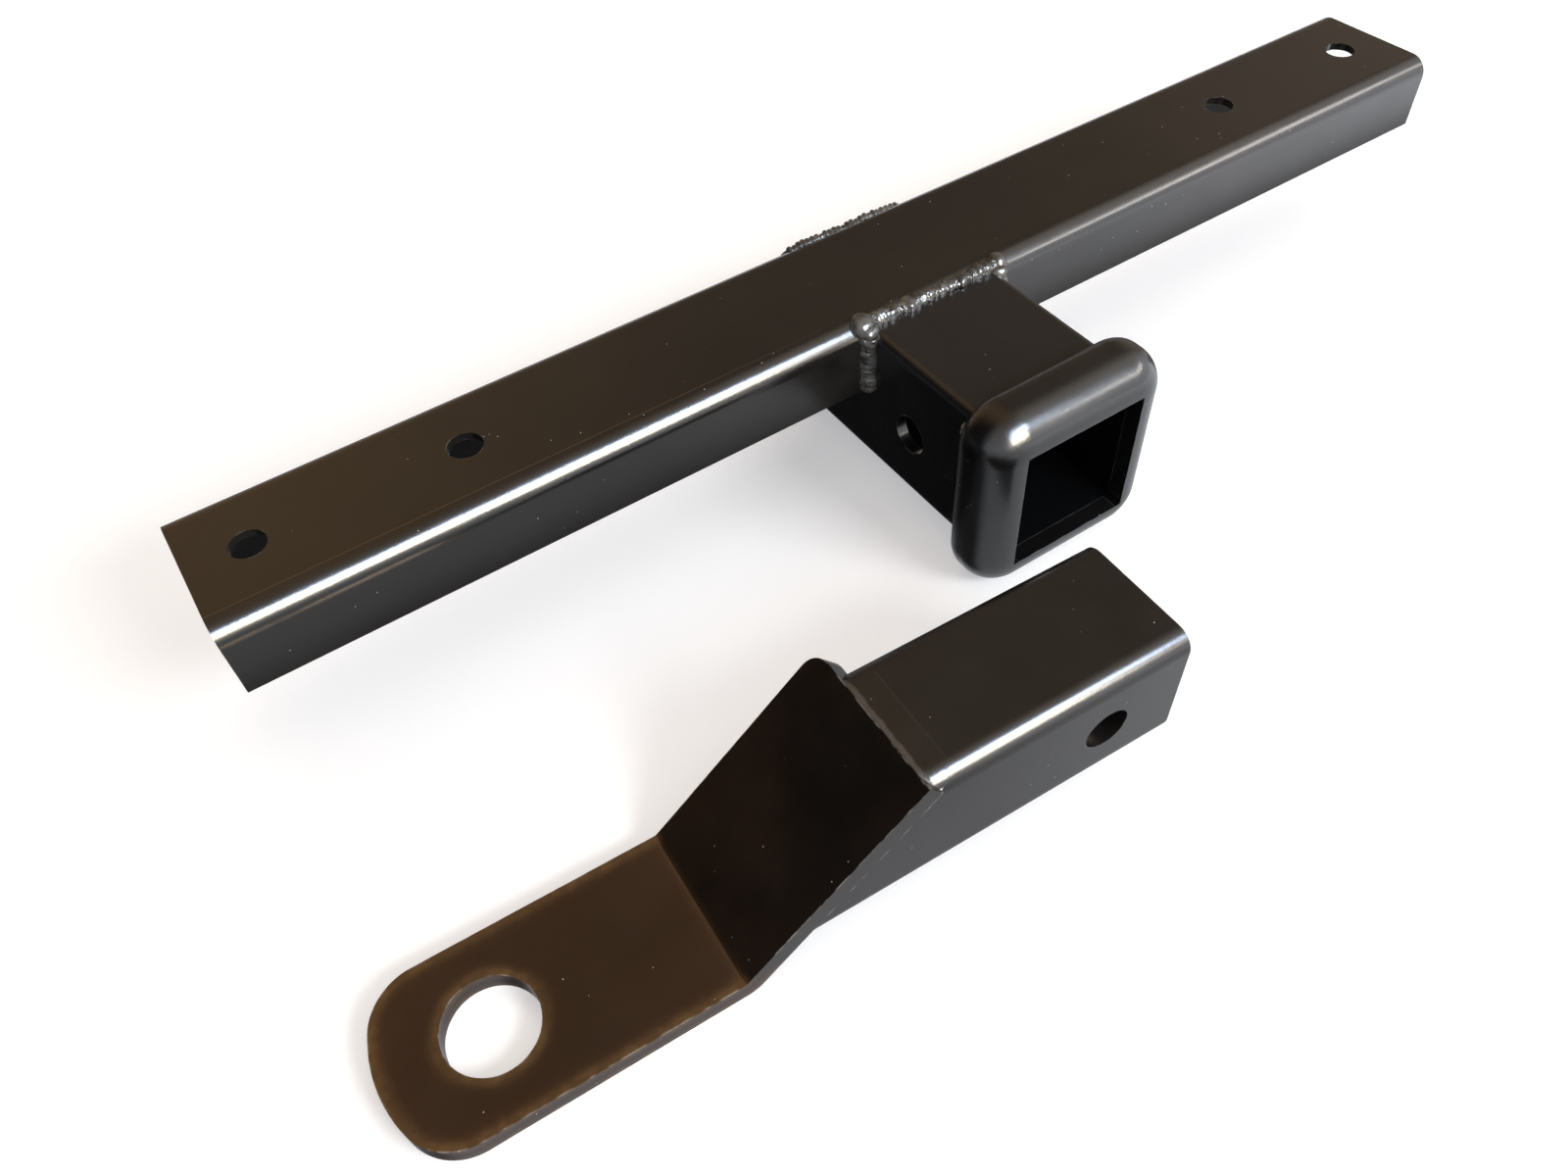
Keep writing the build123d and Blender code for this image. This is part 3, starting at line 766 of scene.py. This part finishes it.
# %% Laying one bead
def lay_bead(name, path, slot_name, material, seed=0, **sizes):
    """Lays a bead along a path of points and lets it stand for the CAD weld of that name."""
    line = bpy.data.curves.new(name + "_path", "CURVE")
    line.dimensions = "3D"
    spline = line.splines.new("POLY")
    spline.points.add(len(path) - 1)
    for point, place in zip(spline.points, path):
        point.co = (*place, 1.0)
    source = bpy.data.objects.new(name + "_path", line)
    bpy.context.scene.collection.objects.link(source)
    melt = source.modifiers.new("weld_bead", "NODES")
    melt.node_group = beads
    values = {"Seed": seed, "Material": material}
    values.update({label.replace("_", " "): value for label, value in sizes.items()})
    for item in beads.interface.items_tree:
        if item.in_out == "INPUT" and item.name in values:
            melt[item.identifier] = values[item.name]
    bpy.context.view_layer.update()
    evaluated = source.evaluated_get(bpy.context.evaluated_depsgraph_get())
    skin_mesh = bpy.data.meshes.new_from_object(evaluated)
    bpy.data.objects.remove(source)
    bead = bpy.data.objects.new(name + "_bead", skin_mesh)
    bpy.context.scene.collection.objects.link(bead)
    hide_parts(name)
    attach(bead, "root")
    print(name, "has", len(skin_mesh.polygons), "faces")
    return bead


# The pale mottled patches on the welds are painted glints over the dark coat.
weld_enamel_and_glints = satin_enamel(
    "weld_enamel_and_glints", colour(22, 22, 22), colour(96, 94, 90), 0.21, cloud=150.0, peel=0.08, worn=0.7
)

# %% [markdown]
# ### Beads of the crossbar
#
# The receiver's joint runs along its top in the groove under the channel's front fold, then
# down both sides of the front leg. The photograph shows it lumpy and bright, with a fat start
# at each corner. The beads' places all come from the boxes of the pieces that they join.

# %% Beads round the front joint
tube_low, tube_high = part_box("receiver_tube")
bar_low, bar_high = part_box("crossbar_channel")
collar_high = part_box("receiver_collar")[1]
groove_back, groove_rise = 2.8 * mm, 0.8 * mm
lump_out = 1.4 * mm

top_y = bar_low.y + groove_back
top_z = tube_high.z + groove_rise
lay_bead(
    "weld_front_top",
    [(tube_low.x - lump_out, top_y, top_z), (tube_high.x + lump_out, top_y, top_z)],
    "weld_black", weld_enamel_and_glints, seed=3, Coin_Radius=3.4 * mm, Coin_Pitch=3.1 * mm,
    Coin_Flatness=1.0, Unevenness=0.22, End_Swell=0.4, Slump=2.4 * mm,
)
for side, side_x, seed in (("left", tube_low.x, 5), ("right", tube_high.x, 8)):
    lay_bead(
        "weld_front_" + side,
        [(side_x, bar_low.y, bar_high.z - 4.2 * mm), (side_x, bar_low.y, bar_low.z + 2.2 * mm)],
        "weld_black", weld_enamel_and_glints, seed=seed, Coin_Radius=4.7 * mm, Coin_Pitch=2.6 * mm,
        Coin_Flatness=0.9, Unevenness=0.12, Slump=2.0 * mm,
    )

# %% Beads behind the channel and at the collar
crown_y, crown_z, crown_inset = bar_high.y - 1.8 * mm, tube_high.z, 5 * mm
lay_bead(
    "weld_rear_top",
    [(tube_low.x + crown_inset, crown_y, crown_z), (tube_high.x - crown_inset, crown_y, crown_z)],
    "weld_black", weld_enamel_and_glints, seed=11, Coin_Radius=2.3 * mm, Coin_Pitch=2.2 * mm,
    Unevenness=0.28,
)
for side, side_x, seed in (("left", tube_low.x, 13), ("right", tube_high.x, 17)):
    seam_y = bar_high.y - 0.8 * mm
    lay_bead(
        "weld_rear_" + side,
        [(side_x, seam_y, tube_high.z - 6 * mm), (side_x, seam_y, bar_low.z + 2 * mm)],
        "weld_black", weld_enamel_and_glints, seed=seed, Coin_Radius=2.9 * mm, Coin_Pitch=2.2 * mm,
        Unevenness=0.12,
    )
    ring_y = collar_high.y
    lay_bead(
        "collar_weld_" + side,
        [(side_x, ring_y, tube_high.z - 6 * mm), (side_x, ring_y, tube_low.z + 6 * mm)],
        "weld_black", weld_enamel_and_glints, seed=seed + 1, Coin_Radius=3.1 * mm, Coin_Pitch=2.4 * mm,
        Unevenness=0.10,
    )

# %% [markdown]
# ### Beads of the drawbar
#
# The drawbar lies turned a little, so its beads are worked out in its own frame, with X along
# the shank to its free end and Z up from the shank's underside, and then set where it lies.

# %% Beads where the plate closes the shank
drawbar_place = Vector((-33.2, -179.4, 0)) * mm
drawbar_frame = Matrix.Translation(
    drawbar_place + Vector((0, 0, floor_level + tongue_drop))
) @ Matrix.Rotation(math.radians(-2.63), 4, "Z")
slope = math.radians(40.6)
shank_half = shank_width / 2
foot_run = -149.1 * mm


def on_slant(across, height, out=0.0):
    """A point on the slanted cut, moved out of the plate's inner face, where it lies."""
    along = foot_run + height / math.tan(slope) + out * math.sin(slope)
    return drawbar_frame @ Vector((along, across, height - out * math.cos(slope)))


lay_bead(
    "drawbar_weld_back",
    [on_slant(shank_half, 10 * mm), on_slant(shank_half, 40.8 * mm)],
    "weld_black", weld_enamel_and_glints, seed=21, Coin_Radius=4.3 * mm, Coin_Pitch=2.8 * mm,
    Coin_Flatness=0.45, Unevenness=0.10,
)
lay_bead(
    "drawbar_weld_foot",
    [on_slant(-17 * mm, 0, -0.6 * mm), on_slant(17 * mm, 0, -0.6 * mm)],
    "weld_black", weld_enamel_and_glints, seed=25, Coin_Radius=2.6 * mm, Coin_Pitch=2.4 * mm,
    Unevenness=0.10,
)

# %% [markdown]
# The run across the plate's upper end was ground down after welding. It falls from the plate's
# edge in a short steep strip, then lies flush with the shank, and it follows the shank's round
# corners down at both ends. It is one skin of points over a flat underside.

# %% The dressed run
def dressed_run():
    """A closed mesh over the groove, from the plate's edge to the shank's top."""
    edge_run, edge_height = -100.6 * mm, 52.0 * mm
    toe_run, top = -89.4 * mm, shank_width
    corner, side_inset, depth = 7.0 * mm, 0.05 * mm, 2.0 * mm
    strip_width, waviness, film = 1.7 * mm, 0.22 * mm, 0.02 * mm
    flat_half = shank_half - corner
    steps_along, steps_across = 24, 60
    points, faces = [], []
    for row in range(steps_across + 1):
        across = (2 * row / steps_across - 1) * (shank_half - side_inset)
        past_flat = max(0.0, abs(across) - flat_half)
        drop = corner - math.sqrt(corner**2 - past_flat**2)
        wander = waviness * math.sin(across / mm * 0.9) * math.sin(across / mm * 0.37 + 1)
        for step in range(steps_along + 1):
            part = step / steps_along
            along = edge_run + part * (toe_run - edge_run)
            fall = math.exp(-(((along - edge_run) / (strip_width + wander)) ** 2))
            rise = (edge_height - top) * fall + film * (1 - part)
            points.append(drawbar_frame @ Vector((along, across, top - drop + rise)))
        for step in (steps_along, 0):
            along = edge_run + step / steps_along * (toe_run - edge_run)
            points.append(drawbar_frame @ Vector((along, across, top - drop - depth)))
    ring = steps_along + 3
    for row in range(steps_across):
        for step in range(ring):
            here, there = row * ring + step, row * ring + (step + 1) % ring
            faces.append((here, there, there + ring, here + ring))
    faces.append(tuple(range(ring)))
    faces.append(tuple(reversed([steps_across * ring + step for step in range(ring)])))
    run = bpy.data.meshes.new("drawbar_weld_top_dressed")
    run.from_pydata(points, [], faces)
    run.polygons.foreach_set("use_smooth", [True] * (len(faces) - 2) + [False] * 2)
    run.update()
    return run


dressed = bpy.data.objects.new("drawbar_weld_top_dressed", dressed_run())
bpy.context.scene.collection.objects.link(dressed)
dressed.data.materials.append(node["drawbar_weld_top"].material_slots[0].material)
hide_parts("drawbar_weld_top")
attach(dressed, "root")
print("dressed run has", len(dressed.data.polygons), "faces")

# %% [markdown]
# ## The size after dressing
#
# Paint and beads mustn't change the size of the hitch. The box of the dressed model is measured
# against the box of the bare solids, and how much it grew is printed.

# %% The two boxes
dressed_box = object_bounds()
growth = [
    round((dressed_box[1][i] - dressed_box[0][i] - cad_box[1][i] + cad_box[0][i]) / mm, 2)
    for i in range(3)
]
print("the dressed model grew by", growth, "mm")
